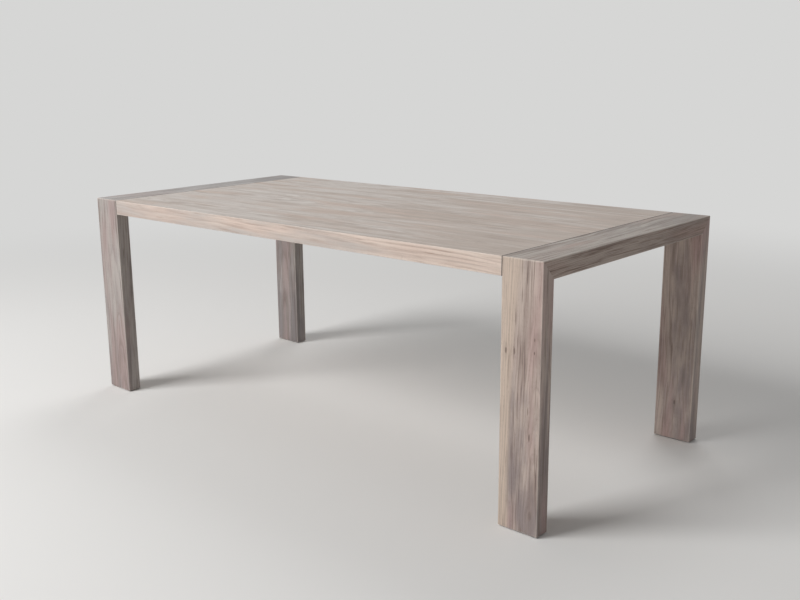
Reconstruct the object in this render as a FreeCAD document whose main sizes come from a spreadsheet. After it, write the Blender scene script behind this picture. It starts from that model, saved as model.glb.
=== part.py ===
import FreeCAD, Part
import math
import os
import re
import Sketcher

# Parsons dining table.  Two portals, each of two legs mitred to a broad end rail, are bolted
# to the ends of a boarded field with a deep edge.  Millimetres.  The origin is on the floor
# under the middle of the table, X runs along the table, Y from front to back and Z up.

BOARD_COUNT = 8     # field boards, counted from the front
CUT_PAST = 5        # how far a cutting shape runs on past the wood
TOUCHING = 0.001    # two places nearer than this are the same place

# ---- driving dimensions ---------------------------------------------------------------------

SIZES = [
    ("length", 2032, "table, end to end"),
    ("width", 965, "table, front to back"),
    ("height", 762, "table, floor to top"),
    ("leg_width", 127, "broad face of a leg, and of the end rail above it"),
    ("leg_thickness", 51, "leg, front to back"),
    ("edge_depth", 54, "depth of the visible edge, all round the table"),
    ("board_thickness", 27, "field boards"),
    ("apron_thickness", 27, "aprons under the long edges"),
    ("ease", 2, "round on the arrises"),
    ("seam_ease", 1, "round on the arrises at the seam between field and portal"),
    ("seam_gap", 1, "open seam between field and portal"),
    ("tongue_thickness", 8, "tongue on the end of a field board"),
    ("tongue_length", 14, "tongue, from the board's shoulder"),
    ("tongue_margin", 12, "wood between a leg's inner face and the end of the tongue"),
    ("tongue_clearance", 0.15, "each side of the tongue in its groove"),
    ("movement_gap", 3, "room for the field to swell across its grain"),
    ("tenon_width", 30, "loose tenon in a portal's mitre, along the mitre"),
    ("tenon_thickness", 10, "loose tenon"),
    ("tenon_length", 40, "loose tenon, half in the leg and half in the rail"),
    ("tenon_field_inset", 42, "one tenon's middle, from the field side of the leg"),
    ("tenon_end_inset", 30, "the other tenon's middle, from the table's end"),
    ("spline_thickness", 5, "spline in the long mitres"),
    ("spline_width", 16, "spline, half in the apron and half in the board"),
    ("spline_stop", 30, "spline stops this far from the ends"),
    ("glue_clearance", 0.1, "each side of a loose tenon, spline or dowel"),
    ("hole_slack", 1, "left empty at the bottom of a hole or groove"),
    ("dowel_diameter", 8, "field and apron dowels"),
    ("dowel_length", 36, "field and apron dowels"),
    ("board_dowel_pitch", 320, "field dowels, along the table"),
    ("apron_dowel_height", 10, "lower apron dowel, from the apron's underside"),
    ("apron_dowel_pitch", 12, "from the lower apron dowel to the upper one"),
    ("cleat_width", 45, "end cleat, along the table"),
    ("cleat_recess", 4, "end cleat's lower face, above the underside of the edge"),
    ("batten_width", 60, "cross batten, along the table"),
    ("batten_depth", 22, "cross batten, below the boards"),
    ("batten_pitch", 430, "from one batten to the next"),
    ("batten_ease", 3, "round on the lower arrises of cleats and battens"),
    ("screw_diameter", 5, "field screws"),
    ("cleat_screw_length", 40, "field screws in the cleats, below the head"),
    ("batten_screw_length", 35, "field screws in the battens, below the head"),
    ("screw_head", 12, "washer head of a field screw, across"),
    ("screw_head_height", 3, "washer head of a field screw"),
    ("screw_clearance", 0.25, "round a field screw in its slot"),
    ("screw_socket", 4, "hexagon socket of a field screw, across flats"),
    ("screw_socket_depth", 2, "hexagon socket of a field screw"),
    ("bolt_diameter", 8, "draw bolts"),
    ("bolt_reach", 20, "draw bolt, inside the end rail"),
    ("bolt_head", 13, "draw bolt's head, across"),
    ("bolt_head_height", 8, "draw bolt's head"),
    ("bolt_socket", 6, "hexagon socket of a draw bolt, across flats"),
    ("bolt_socket_depth", 4, "hexagon socket of a draw bolt"),
    ("bolt_clearance", 0.5, "round a draw bolt in the cleat"),
    ("washer_diameter", 20, "washer under a draw bolt's head"),
    ("washer_thickness", 2, "washer under a draw bolt's head"),
    ("washer_gap", 1.5, "between a washer and the boards above it"),
    ("insert_diameter", 12, "threaded insert in the end rail"),
    ("insert_length", 25, "threaded insert in the end rail"),
    ("pad_thickness", 3, "foot pad"),
    ("pad_inset", 7, "foot pad, inside the leg's outline"),
    ("pad_corner", 6, "foot pad, round at its corners"),
    ("pad_screw_pitch", 70, "from one foot screw to the other"),
    ("pad_screw_diameter", 3.5, "foot screws"),
    ("pad_screw_length", 25, "foot screws, from head to tip"),
    ("pad_screw_head", 7, "countersunk head of a foot screw, across"),
    ("pad_screw_sink", 0.4, "foot screw's head, inside the face of the pad"),
    ("pad_screw_clearance", 0.1, "round a foot screw in the pad"),
]

# Sizes that follow from the driving ones.
WORKED = [
    ("board_width", f"width / {BOARD_COUNT}"),
    ("field_length", "length - 2 * leg_width - 2 * seam_gap"),
    ("post_height", "height - pad_thickness"),
    ("seam_x", "length / 2 - leg_width"),
    ("board_underside", "height - board_thickness"),
    ("edge_underside", "height - edge_depth"),
    ("mitre_angle", "atan(edge_depth / leg_thickness)"),
    ("mitre_length", "sqrt(edge_depth ^ 2 + leg_thickness ^ 2)"),
    ("edge_mitre_angle", "atan(board_thickness / apron_thickness)"),
    ("edge_mitre_length", "sqrt(board_thickness ^ 2 + apron_thickness ^ 2)"),
    ("cleat_depth", "edge_depth - board_thickness - cleat_recess"),
    ("bolt_drop", "washer_diameter / 2 + washer_gap"),
    ("tongue_setback", "leg_thickness + tongue_margin"),
    ("apron_gap", "apron_thickness + movement_gap"),
    ("pad_screw_cone", "(pad_screw_head - pad_screw_diameter) / 2"),
]

doc = FreeCAD.newDocument("parsons_table")
sizes = doc.addObject("Spreadsheet::Sheet", "Sizes")
for row, (alias, amount, note) in enumerate(SIZES, 1):
    sizes.set(f"A{row}", note)
    sizes.set(f"B{row}", str(amount))
    sizes.setAlias(f"B{row}", alias)
doc.recompute()

owner = {alias: "Sizes." for alias, amount, note in SIZES}


def written_out(formula):
    """Name the sheet in front of each size in a formula."""
    return re.sub(r"[a-z_]+", lambda word: owner.get(word[0], "") + word[0], formula)


worked = doc.addObject("Spreadsheet::Sheet", "Worked")
for row, (alias, formula) in enumerate(WORKED, 1):
    worked.set(f"A{row}", alias)
    worked.set(f"B{row}", "=" + written_out(formula))
    worked.setAlias(f"B{row}", alias)
    owner[alias] = "Worked."
doc.recompute()


def value(formula):
    """A formula's amount with the sheets as they stand."""
    found = sizes.evalExpression(written_out(formula))
    return float(getattr(found, "Value", found))


def drive(thing, path, formula):
    """Tie a property to the sheets."""
    thing.setExpression(path, written_out(formula))


# ---- drawing --------------------------------------------------------------------------------

def new_body(label, x, y, z, turned=False):
    """A sub-part standing in its place; a turned one is half a turn about Z."""
    body = doc.addObject("PartDesign::Body", label)
    body.Label = label
    turn = FreeCAD.Rotation(FreeCAD.Vector(0, 0, 1), 180 if turned else 0)
    body.Placement = FreeCAD.Placement(FreeCAD.Vector(), turn)
    for axis, formula in zip("xyz", (x, y, z)):
        drive(body, f"Placement.Base.{axis}", formula)
    return body


def origin_plane(body, role):
    """One of a body's own three planes."""
    return next(found for found in body.Origin.OriginFeatures if found.Role == role)


def new_sketch(body, name, role, offset="0"):
    """A sketch on a body's own plane, or a distance off it."""
    flat = body.newObject("Sketcher::SketchObject", f"{body.Name}_{name}")
    flat.AttachmentSupport = [(origin_plane(body, role), "")]
    flat.MapMode = "FlatFace"
    drive(flat, "AttachmentOffset.Base.z", offset)
    return flat


def mitre_sketch(body, name, y, z, angle):
    """A sketch on a mitre that falls away from a long arris at y, z."""
    flat = new_sketch(body, name, "XY_Plane", z)
    tilt = FreeCAD.Rotation(FreeCAD.Vector(-1, 0, 0), value(angle))
    flat.AttachmentOffset = FreeCAD.Placement(FreeCAD.Vector(), tilt)
    drive(flat, "AttachmentOffset.Rotation.Angle", angle)
    drive(flat, "AttachmentOffset.Base.y", y)
    return flat


def tie(flat, kind, formula, *place):
    """Add a dimension to a sketch and tie it to the sheets."""
    number = flat.addConstraint(Sketcher.Constraint(kind, *place, value(formula)))
    flat.renameConstraint(number, f"{kind}_{number}")
    drive(flat, f"Constraints.{kind}_{number}", formula)


def pin(flat, shape, point, x, y):
    """Hold a point of a sketch at x, y."""
    for kind, axis, formula in (("DistanceX", -2, x), ("DistanceY", -1, y)):
        if formula == "0":
            flat.addConstraint(Sketcher.Constraint("PointOnObject", shape, point, axis))
        else:
            tie(flat, kind, formula, -1, 1, shape, point)


def outline(flat, corners):
    """A closed outline of straight lines through its corners."""
    points = [FreeCAD.Vector(value(x), value(y), 0) for x, y in corners]
    first = flat.GeometryCount
    for here, there in zip(points, points[1:] + points[:1]):
        flat.addGeometry(Part.LineSegment(here, there), False)
    for number, (x, y) in enumerate(corners):
        before = first + (number - 1) % len(corners)
        flat.addConstraint(Sketcher.Constraint("Coincident", before, 2, first + number, 1))
        pin(flat, first + number, 1, x, y)


def rectangle(flat, left, low, right, high):
    """An upright rectangle."""
    outline(flat, [(left, low), (right, low), (right, high), (left, high)])


def circles(flat, centres, diameter):
    """Circles of one diameter."""
    for x, y in centres:
        middle = FreeCAD.Vector(value(x), value(y), 0)
        ring = Part.Circle(middle, FreeCAD.Vector(0, 0, 1), value(diameter) / 2)
        number = flat.addGeometry(ring, False)
        pin(flat, number, 3, x, y)
        tie(flat, "Diameter", diameter, number)


def hexagons(flat, centres, across_flats):
    """Hexagons with two flats parallel to the sketch's first axis."""
    for x, y in centres:
        corners = []
        for number in range(6):
            turn = f"{60 * number} deg"
            reach = f"({across_flats}) / sqrt(3)"
            corners.append((f"{x} + {reach} * cos({turn})", f"{y} + {reach} * sin({turn})"))
        outline(flat, corners)


def slots(flat, centres, radius, travel, upright=False):
    """Round-ended slots; travel is the distance between the middles of their two ends."""
    half = f"({travel}) / 2"
    for x, y in centres:
        if upright:
            ends = [(x, f"{y} + {half}"), (x, f"{y} - {half}")]
            start = 0
        else:
            ends = [(f"{x} - {half}", y), (f"{x} + {half}", y)]
            start = math.pi / 2
        first = flat.GeometryCount
        for number, (end_x, end_y) in enumerate(ends):
            middle = FreeCAD.Vector(value(end_x), value(end_y), 0)
            ring = Part.Circle(middle, FreeCAD.Vector(0, 0, 1), value(radius))
            begin = start + number * math.pi
            flat.addGeometry(Part.ArcOfCircle(ring, begin, begin + math.pi), False)
        for near, far in ((first, first + 1), (first + 1, first)):
            side = Part.LineSegment(flat.getPoint(near, 2), flat.getPoint(far, 1))
            line = flat.addGeometry(side, False)
            flat.addConstraint(Sketcher.Constraint("Tangent", near, 2, line, 1))
            flat.addConstraint(Sketcher.Constraint("Tangent", line, 2, far, 1))
        flat.addConstraint(Sketcher.Constraint("Equal", first, first + 1))
        for number, (end_x, end_y) in enumerate(ends):
            pin(flat, first + number, 3, end_x, end_y)
        tie(flat, "Radius", radius, first)


# ---- cutting and joining --------------------------------------------------------------------

def extrude(kind, flat, length, both_ways, towards, taper):
    """Pad or pocket a sketch towards +1 or -1 along its normal."""
    body = flat.getParentGeoFeatureGroup()
    before = body.Shape.Volume if body.Tip else 0
    natural = 1 if kind == "Pad" else -1
    feature = body.newObject(f"PartDesign::{kind}", f"{flat.Name}_{kind.lower()}")
    feature.Profile = flat
    feature.Midplane = both_ways
    feature.Reversed = towards != natural
    if length:
        drive(feature, "Length", length)
    else:
        feature.Type = "ThroughAll"
    if taper:
        drive(feature, "TaperAngle", taper)
    doc.recompute()
    if (body.Shape.Volume - before) * natural <= 0:
        raise ValueError(f"{feature.Name} changed nothing")
    return feature


def pad(flat, length, both_ways=False, towards=1, taper=None):
    """Raise a solid from a sketch."""
    return extrude("Pad", flat, length, both_ways, towards, taper)


def pocket(flat, length=None, both_ways=False, towards=1, taper=None):
    """Cut a sketch out of a body, right through where no length is given."""
    return extrude("Pocket", flat, length, both_ways, towards, taper)


def round_edges(body, radius, wanted):
    """Round the edges of a body's last feature whose bounding box passes a test."""
    base = body.Tip
    names = []
    for number, edge in enumerate(base.Shape.Edges, 1):
        if wanted(edge.BoundBox):
            names.append(f"Edge{number}")
    feature = body.newObject("PartDesign::Fillet", f"{body.Name}_{radius}")
    feature.Base = (base, names)
    drive(feature, "Radius", radius)
    doc.recompute()


def mirror(body, feature, role):
    """Repeat a feature on the other side of one of the body's planes."""
    copy = body.newObject("PartDesign::Mirrored", f"{feature.Name}_mirrored")
    copy.Originals = [feature]
    copy.MirrorPlane = (origin_plane(body, role), [""])
    body.Tip = copy
    doc.recompute()


def lies_at(low, high, place):
    """True where a box is flat and lies at a place."""
    return abs(low - place) < TOUCHING and abs(high - place) < TOUCHING


# ---- portals: legs, end rails and what joins them -------------------------------------------
# A leg's own origin is at the foot of its outer face, on the side that faces the field.  Its
# width runs along X, towards +X for hand 1 and -X for hand -1, and its thickness along +Y.

CORNERS = [
    ("front_left", "-seam_x", "-width / 2", False, -1),
    ("back_left", "-seam_x", "width / 2", True, 1),
    ("front_right", "seam_x", "-width / 2", False, 1),
    ("back_right", "seam_x", "width / 2", True, -1),
]
APRON_DOWEL_Y = "apron_thickness / 2"


def corner_body(name, corner):
    """A sub-part in the frame of one leg."""
    where, x, y, turned = corner
    return new_body(f"{name}_{where}", x, y, "pad_thickness", turned)


def tenon_centres(hand):
    """Middles of the loose tenons on the mitre's sketch."""
    places = ("tenon_field_inset", "(leg_width - tenon_end_inset)")
    return [(f"{hand} * {place}", "mitre_length / 2") for place in places]


def apron_dowel_heights(underside):
    """Heights of the two dowels at the end of an apron."""
    return [f"{underside} + apron_dowel_height", f"{underside} + apron_dowel_height + apron_dowel_pitch"]


def foot_screw_centres(hand):
    """Middles of the two foot screws under a leg."""
    middle = f"{hand} * leg_width / 2"
    return [(f"{middle} - pad_screw_pitch / 2", "leg_thickness / 2"),
            (f"{middle} + pad_screw_pitch / 2", "leg_thickness / 2")]


def make_leg(corner, hand):
    """A slab leg, eased all round, mitred at the top and mortised for the loose tenons."""
    body = corner_body("leg", corner)
    blank = new_sketch(body, "blank", "XY_Plane")
    rectangle(blank, "0", "0", f"{hand} * leg_width", "leg_thickness")
    pad(blank, "post_height")
    round_edges(body, "ease", lambda box: not lies_at(box.XMin, box.XMax, 0))
    round_edges(body, "seam_ease", lambda box: lies_at(box.XMin, box.XMax, 0))

    mitre = new_sketch(body, "mitre", "YZ_Plane")
    inner = "post_height - edge_depth"
    outline(mitre, [
        ("0", "post_height"),
        ("leg_thickness", inner),
        (f"leg_thickness + {CUT_PAST}", inner),
        (f"leg_thickness + {CUT_PAST}", f"post_height + {CUT_PAST}"),
        ("0", f"post_height + {CUT_PAST}"),
    ])
    pocket(mitre, both_ways=True)

    mortises = mitre_sketch(body, "mortises", "0", "post_height", "mitre_angle")
    slots(mortises, tenon_centres(hand), "tenon_thickness / 2 + glue_clearance",
          "tenon_width - tenon_thickness")
    pocket(mortises, "tenon_length / 2 + hole_slack", towards=-1)

    # The apron's dowels line it up in height and leave it free to move from front to back.
    sockets = new_sketch(body, "apron_sockets", "YZ_Plane")
    heights = apron_dowel_heights("post_height - edge_depth")
    slots(sockets, [(APRON_DOWEL_Y, height) for height in heights],
          "dowel_diameter / 2 + glue_clearance", "movement_gap")
    pocket(sockets, "dowel_length / 2 + hole_slack", towards=hand)

    pilots = new_sketch(body, "foot_pilots", "XY_Plane")
    circles(pilots, foot_screw_centres(hand), "pad_screw_diameter")
    pocket(pilots, "pad_screw_length - pad_thickness + pad_screw_sink + hole_slack")
    return body


def make_mitre_tenons(corner, hand):
    """Two loose tenons with rounded edges, across the mitre between a leg and its rail."""
    body = corner_body("mitre_tenons", corner)
    section = mitre_sketch(body, "section", "0", "post_height", "mitre_angle")
    slots(section, tenon_centres(hand), "tenon_thickness / 2", "tenon_width - tenon_thickness")
    pad(section, "tenon_length", both_ways=True)
    return body


def make_apron_dowels(corner, hand):
    """Two dowels, glued into the end of an apron and free to slide in the leg's slots."""
    body = corner_body("apron_dowels", corner)
    section = new_sketch(body, "section", "YZ_Plane", f"-{hand} * seam_gap / 2")
    heights = apron_dowel_heights("post_height - edge_depth")
    circles(section, [(APRON_DOWEL_Y, height) for height in heights], "dowel_diameter")
    pad(section, "dowel_length", both_ways=True)
    return body


def make_foot_pad(corner, hand):
    """A thin pad under the leg, inside its outline, with two countersunk holes."""
    body = corner_body("foot_pad", corner)
    plan = new_sketch(body, "plan", "XY_Plane")
    rectangle(plan, f"{hand} * pad_inset", "pad_inset",
              f"{hand} * (leg_width - pad_inset)", "leg_thickness - pad_inset")
    pad(plan, "pad_thickness", towards=-1)
    round_edges(body, "pad_corner", lambda box: box.ZLength > value("pad_thickness") - TOUCHING)

    holes = new_sketch(body, "holes", "XY_Plane")
    circles(holes, foot_screw_centres(hand), "pad_screw_diameter + 2 * pad_screw_clearance")
    pocket(holes, both_ways=True)
    sinks = new_sketch(body, "countersinks", "XY_Plane", "-pad_thickness")
    circles(sinks, foot_screw_centres(hand), "pad_screw_head + 2 * pad_screw_sink")
    pocket(sinks, "pad_screw_cone + pad_screw_sink", taper="-45 deg")
    return body


def make_foot_screws(corner, hand):
    """Two countersunk screws up through the pad into the end grain of the leg."""
    body = corner_body("foot_screws", corner)
    face = "-(pad_thickness - pad_screw_sink)"
    shank = new_sketch(body, "shank", "XY_Plane", face)
    circles(shank, foot_screw_centres(hand), "pad_screw_diameter")
    pad(shank, "pad_screw_length")
    head = new_sketch(body, "head", "XY_Plane", face)
    circles(head, foot_screw_centres(hand), "pad_screw_head")
    pad(head, "pad_screw_cone", taper="-45 deg")
    return body


# A rail's own origin is on its face towards the field, halfway along it and at its underside.

def end_body(name, side, z):
    """A sub-part in the frame of the right-hand portal, turned about for the left one."""
    turned = side == "left"
    return new_body(f"{name}_{side}", "-seam_x" if turned else "seam_x", "0", z, turned)


def joint_places():
    """Every other joint between field boards, where the draw bolts run."""
    return [f"{number} * board_width - width / 2" for number in range(1, BOARD_COUNT, 2)]


def board_places():
    """The middles of the field boards, where their screws go in."""
    return [f"({number} + 0.5) * board_width - width / 2" for number in range(BOARD_COUNT)]


def make_end_rail(side):
    """A broad rail, mitred at both ends, grooved for the boards and bored for the inserts."""
    body = end_body("end_rail", side, "edge_underside")
    blank = new_sketch(body, "blank", "XY_Plane")
    rectangle(blank, "0", "-width / 2", "leg_width", "width / 2")
    pad(blank, "edge_depth")
    round_edges(body, "ease", lambda box: not lies_at(box.XMin, box.XMax, 0))
    round_edges(body, "seam_ease", lambda box: lies_at(box.XMin, box.XMax, 0))

    mitre = new_sketch(body, "mitre", "YZ_Plane")
    inner = "-width / 2 + leg_thickness"
    outline(mitre, [
        ("-width / 2", "edge_depth"),
        (inner, "0"),
        (inner, f"-{CUT_PAST}"),
        (f"-width / 2 - {CUT_PAST}", f"-{CUT_PAST}"),
        (f"-width / 2 - {CUT_PAST}", "edge_depth"),
    ])
    mirror(body, pocket(mitre, both_ways=True), "XZ_Plane")

    mortises = mitre_sketch(body, "mortises", "-width / 2", "edge_depth", "mitre_angle")
    slots(mortises, tenon_centres(1), "tenon_thickness / 2 + glue_clearance",
          "tenon_width - tenon_thickness")
    cut = pocket(mortises, "tenon_length / 2 + hole_slack")
    mirror(body, cut, "XZ_Plane")

    groove = new_sketch(body, "groove", "XZ_Plane")
    middle = "edge_depth - board_thickness / 2"
    half = "(tongue_thickness / 2 + tongue_clearance)"
    rectangle(groove, f"-{CUT_PAST}", f"{middle} - {half}",
              "tongue_length - seam_gap + hole_slack", f"{middle} + {half}")
    pocket(groove, "width - 2 * tongue_setback + 2 * movement_gap", both_ways=True)

    bores = new_sketch(body, "insert_bores", "YZ_Plane")
    height = "edge_depth - board_thickness - bolt_drop"
    circles(bores, [(place, height) for place in joint_places()], "insert_diameter")
    pocket(bores, "insert_length + hole_slack")
    return body


# ---- field: boards, aprons and what joins them ----------------------------------------------
# A board's own origin is at the underside of its front edge, halfway along it; the back board
# is turned about, so that its origin is at its outer edge.  An apron's is at its outer face.

def board_dowel_places():
    """Field dowels along the table."""
    return [f"{number} * board_dowel_pitch" for number in (-2, -1, 0, 1, 2)]


def screw_pilots():
    """Pilot holes under a board: places along it and depth, for the cleats and the battens."""
    cleat = "(seam_x - cleat_width / 2)"
    return [
        ("cleat", [f"-{cleat}", cleat], "cleat_screw_length - cleat_depth + hole_slack"),
        ("batten", ["-batten_pitch", "0", "batten_pitch"],
         "batten_screw_length - batten_depth + hole_slack"),
    ]


def make_board(number):
    """A field board with a tongue at each end; the outer two are mitred along the table."""
    outer = number in (1, BOARD_COUNT)
    turned = number == BOARD_COUNT
    place = "width / 2" if turned else f"{number - 1} * board_width - width / 2"
    body = new_body(f"top_board_{number}", "0", place, "board_underside", turned)

    blank = new_sketch(body, "blank", "XY_Plane")
    rectangle(blank, "-field_length / 2", "0", "field_length / 2", "board_width")
    pad(blank, "board_thickness")
    top = value("board_thickness")
    end = value("field_length") / 2
    if outer:
        round_edges(body, "ease", lambda box: lies_at(box.YMin, box.YMax, 0) and box.XLength > end)
        round_edges(body, "seam_ease", lambda box: lies_at(abs(box.XMin), abs(box.XMax), end)
                    and not lies_at(box.ZMin, box.ZMax, 0)
                    and not lies_at(box.YMin, box.YMax, value("board_width")))
        mitre = new_sketch(body, "mitre", "YZ_Plane")
        outline(mitre, [
            ("0", "board_thickness"),
            ("apron_thickness", "0"),
            ("apron_thickness", f"-{CUT_PAST}"),
            (f"-{CUT_PAST}", f"-{CUT_PAST}"),
            (f"-{CUT_PAST}", "board_thickness"),
        ])
        pocket(mitre, both_ways=True)
        groove = mitre_sketch(body, "spline_groove", "0", "board_thickness", "edge_mitre_angle")
        spline_outline(groove, "glue_clearance")
        pocket(groove, "spline_width / 2 + hole_slack")
    else:
        round_edges(body, "seam_ease", lambda box: lies_at(abs(box.XMin), abs(box.XMax), end)
                    and lies_at(box.ZMin, box.ZMax, top))

    tongues = new_sketch(body, "tongues", "XY_Plane", "(board_thickness - tongue_thickness) / 2")
    start = "tongue_setback" if outer else "0"
    for sign in ("-", ""):
        rectangle(tongues, f"{sign}field_length / 2", start,
                  f"{sign}(field_length / 2 + tongue_length)", "board_width")
    pad(tongues, "tongue_thickness")

    edges = [("inner_dowel_holes", "-board_width", -1)]
    if not outer:
        edges.append(("outer_dowel_holes", "0", 1))
    for name, offset, inward in edges:
        holes = new_sketch(body, name, "XZ_Plane", offset)
        circles(holes, [(place, "board_thickness / 2") for place in board_dowel_places()],
                "dowel_diameter + 2 * glue_clearance")
        pocket(holes, "dowel_length / 2 + hole_slack", towards=-inward)

    for name, places, depth in screw_pilots():
        holes = new_sketch(body, f"{name}_pilots", "XY_Plane")
        circles(holes, [(place, "board_width / 2") for place in places], "screw_diameter")
        pocket(holes, depth)
    return body


def spline_outline(flat, clearance):
    """The face of a long spline on the mitre between an apron and an outer board."""
    reach = "(field_length / 2 - spline_stop)"
    half = f"(spline_thickness / 2 + {clearance})"
    rectangle(flat, f"-{reach} - {clearance}", f"edge_mitre_length / 2 - {half}",
              f"{reach} + {clearance}", f"edge_mitre_length / 2 + {half}")


def long_edge_body(name, side):
    """A sub-part in the frame of the front apron, turned about for the back one."""
    turned = side == "back"
    return new_body(f"{side}_{name}", "0", "width / 2" if turned else "-width / 2",
                    "edge_underside", turned)


def make_apron(side):
    """A deep edge under an outer board, mitred to it along the arris."""
    body = long_edge_body("apron", side)
    blank = new_sketch(body, "blank", "XY_Plane")
    rectangle(blank, "-field_length / 2", "0", "field_length / 2", "apron_thickness")
    pad(blank, "edge_depth")
    end = value("field_length") / 2
    round_edges(body, "ease", lambda box: box.XLength > end)
    round_edges(body, "seam_ease", lambda box: lies_at(abs(box.XMin), abs(box.XMax), end))

    mitre = new_sketch(body, "mitre", "YZ_Plane")
    inner = "edge_depth - board_thickness"
    outline(mitre, [
        ("0", "edge_depth"),
        ("apron_thickness", inner),
        (f"apron_thickness + {CUT_PAST}", inner),
        (f"apron_thickness + {CUT_PAST}", f"edge_depth + {CUT_PAST}"),
        ("0", f"edge_depth + {CUT_PAST}"),
    ])
    pocket(mitre, both_ways=True)
    groove = mitre_sketch(body, "spline_groove", "0", "edge_depth", "edge_mitre_angle")
    spline_outline(groove, "glue_clearance")
    pocket(groove, "spline_width / 2 + hole_slack", towards=-1)

    holes = new_sketch(body, "dowel_holes", "YZ_Plane", "field_length / 2")
    circles(holes, [(APRON_DOWEL_Y, height) for height in apron_dowel_heights("0")],
            "dowel_diameter + 2 * glue_clearance")
    cut = pocket(holes, "dowel_length / 2 + hole_slack", towards=-1)
    mirror(body, cut, "YZ_Plane")
    return body


def make_mitre_spline(side):
    """A long spline glued across the mitre between an apron and its board."""
    body = long_edge_body("mitre_spline", side)
    section = mitre_sketch(body, "section", "0", "edge_depth", "edge_mitre_angle")
    spline_outline(section, "0")
    pad(section, "spline_width", both_ways=True)
    return body


def make_board_dowels():
    """All the dowels in the glued joints of the field."""
    body = new_body("board_dowels", "0", "0", "board_underside")
    for number in range(1, BOARD_COUNT):
        section = new_sketch(body, f"joint_{number}", "XZ_Plane",
                             f"width / 2 - {number} * board_width")
        circles(section, [(place, "board_thickness / 2") for place in board_dowel_places()],
                "dowel_diameter")
        pad(section, "dowel_length", both_ways=True)
    return body


# ---- under the field: cleats, battens, screws and draw bolts --------------------------------
# These stand in frames whose height is the underside of the boards.  A cleat lies against the
# end rail, on the -X side of its frame, and a batten is centred on its frame.

CLEAT_MIDDLE = "-cleat_width / 2"
BAR_END = "(width / 2 - apron_gap)"
BATTENS = [("left", "-batten_pitch"), ("middle", "0"), ("right", "batten_pitch")]


def make_bar(body, left, right, depth, screw_x):
    """A bar across the field, with a slot for each board's screw so that the board can move."""
    blank = new_sketch(body, "blank", "XY_Plane")
    rectangle(blank, left, f"-{BAR_END}", right, BAR_END)
    pad(blank, depth, towards=-1)
    low = -value(depth)
    round_edges(body, "batten_ease", lambda box: lies_at(box.ZMin, box.ZMax, low))
    screw_slots = new_sketch(body, "screw_slots", "XY_Plane")
    slots(screw_slots, [(screw_x, place) for place in board_places()],
          "screw_diameter / 2 + screw_clearance", "movement_gap", upright=True)
    pocket(screw_slots, both_ways=True)


def make_end_cleat(side):
    """A bar screwed under the ends of the boards, which the portal is bolted to."""
    body = end_body("end_cleat", side, "board_underside")
    make_bar(body, "-cleat_width", "0", "cleat_depth", CLEAT_MIDDLE)
    bores = new_sketch(body, "bolt_bores", "YZ_Plane")
    circles(bores, bolt_centres(), "bolt_diameter + 2 * bolt_clearance")
    pocket(bores, both_ways=True)
    return body


def make_batten(side, x):
    """A bar under the field that keeps the boards flat."""
    body = new_body(f"cross_batten_{side}", x, "0", "board_underside")
    make_bar(body, "-batten_width / 2", "batten_width / 2", "batten_depth", "0")
    return body


def make_screws(body, x, depth, length):
    """A row of washer-head screws up through a bar, one into each board."""
    centres = [(x, place) for place in board_places()]
    shank = new_sketch(body, "shank", "XY_Plane", f"-{depth}")
    circles(shank, centres, "screw_diameter")
    pad(shank, length)
    head = new_sketch(body, "head", "XY_Plane", f"-{depth}")
    circles(head, centres, "screw_head")
    pad(head, "screw_head_height", towards=-1)
    socket = new_sketch(body, "socket", "XY_Plane", f"-{depth} - screw_head_height")
    hexagons(socket, centres, "screw_socket")
    pocket(socket, "screw_socket_depth")
    return body


def bolt_centres():
    """Middles of the draw bolts, low enough for their washers to clear the boards."""
    return [(place, "-bolt_drop") for place in joint_places()]


def make_draw_bolts(side):
    """Socket-head bolts that draw the portal and the field together."""
    body = end_body("draw_bolts", side, "board_underside")
    seat = "-(cleat_width + washer_thickness)"
    shank = new_sketch(body, "shank", "YZ_Plane", seat)
    circles(shank, bolt_centres(), "bolt_diameter")
    pad(shank, "cleat_width + washer_thickness + bolt_reach")
    head = new_sketch(body, "head", "YZ_Plane", seat)
    circles(head, bolt_centres(), "bolt_head")
    pad(head, "bolt_head_height", towards=-1)
    socket = new_sketch(body, "socket", "YZ_Plane", f"{seat} - bolt_head_height")
    hexagons(socket, bolt_centres(), "bolt_socket")
    pocket(socket, "bolt_socket_depth")
    return body


def make_bolt_washers(side):
    """Flat washers between the bolts' heads and the cleat."""
    body = end_body("bolt_washers", side, "board_underside")
    plan = new_sketch(body, "plan", "YZ_Plane", "-cleat_width")
    circles(plan, bolt_centres(), "washer_diameter")
    circles(plan, bolt_centres(), "bolt_diameter + 2 * bolt_clearance")
    pad(plan, "washer_thickness", towards=-1)
    return body


def make_threaded_inserts(side):
    """Bushes in the end rail that the bolts screw into."""
    body = end_body("threaded_inserts", side, "board_underside")
    plan = new_sketch(body, "plan", "YZ_Plane")
    circles(plan, bolt_centres(), "insert_diameter")
    circles(plan, bolt_centres(), "bolt_diameter")
    pad(plan, "insert_length")
    return body


# ---- the table ------------------------------------------------------------------------------

nodes = []
for *corner, hand in CORNERS:
    for make in (make_leg, make_mitre_tenons, make_apron_dowels, make_foot_pad, make_foot_screws):
        nodes.append(make(corner, hand))
for number in range(1, BOARD_COUNT + 1):
    nodes.append(make_board(number))
nodes.append(make_board_dowels())
for side in ("front", "back"):
    nodes += [make_apron(side), make_mitre_spline(side)]
for side in ("left", "right"):
    nodes += [make_end_rail(side), make_end_cleat(side)]
    nodes += [make_draw_bolts(side), make_bolt_washers(side), make_threaded_inserts(side)]
    screws = end_body("cleat_screws", side, "board_underside")
    nodes.append(make_screws(screws, CLEAT_MIDDLE, "cleat_depth", "cleat_screw_length"))
for side, x in BATTENS:
    nodes.append(make_batten(side, x))
    screws = new_body(f"batten_screws_{side}", x, "0", "board_underside")
    nodes.append(make_screws(screws, "0", "batten_depth", "batten_screw_length"))

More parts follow.
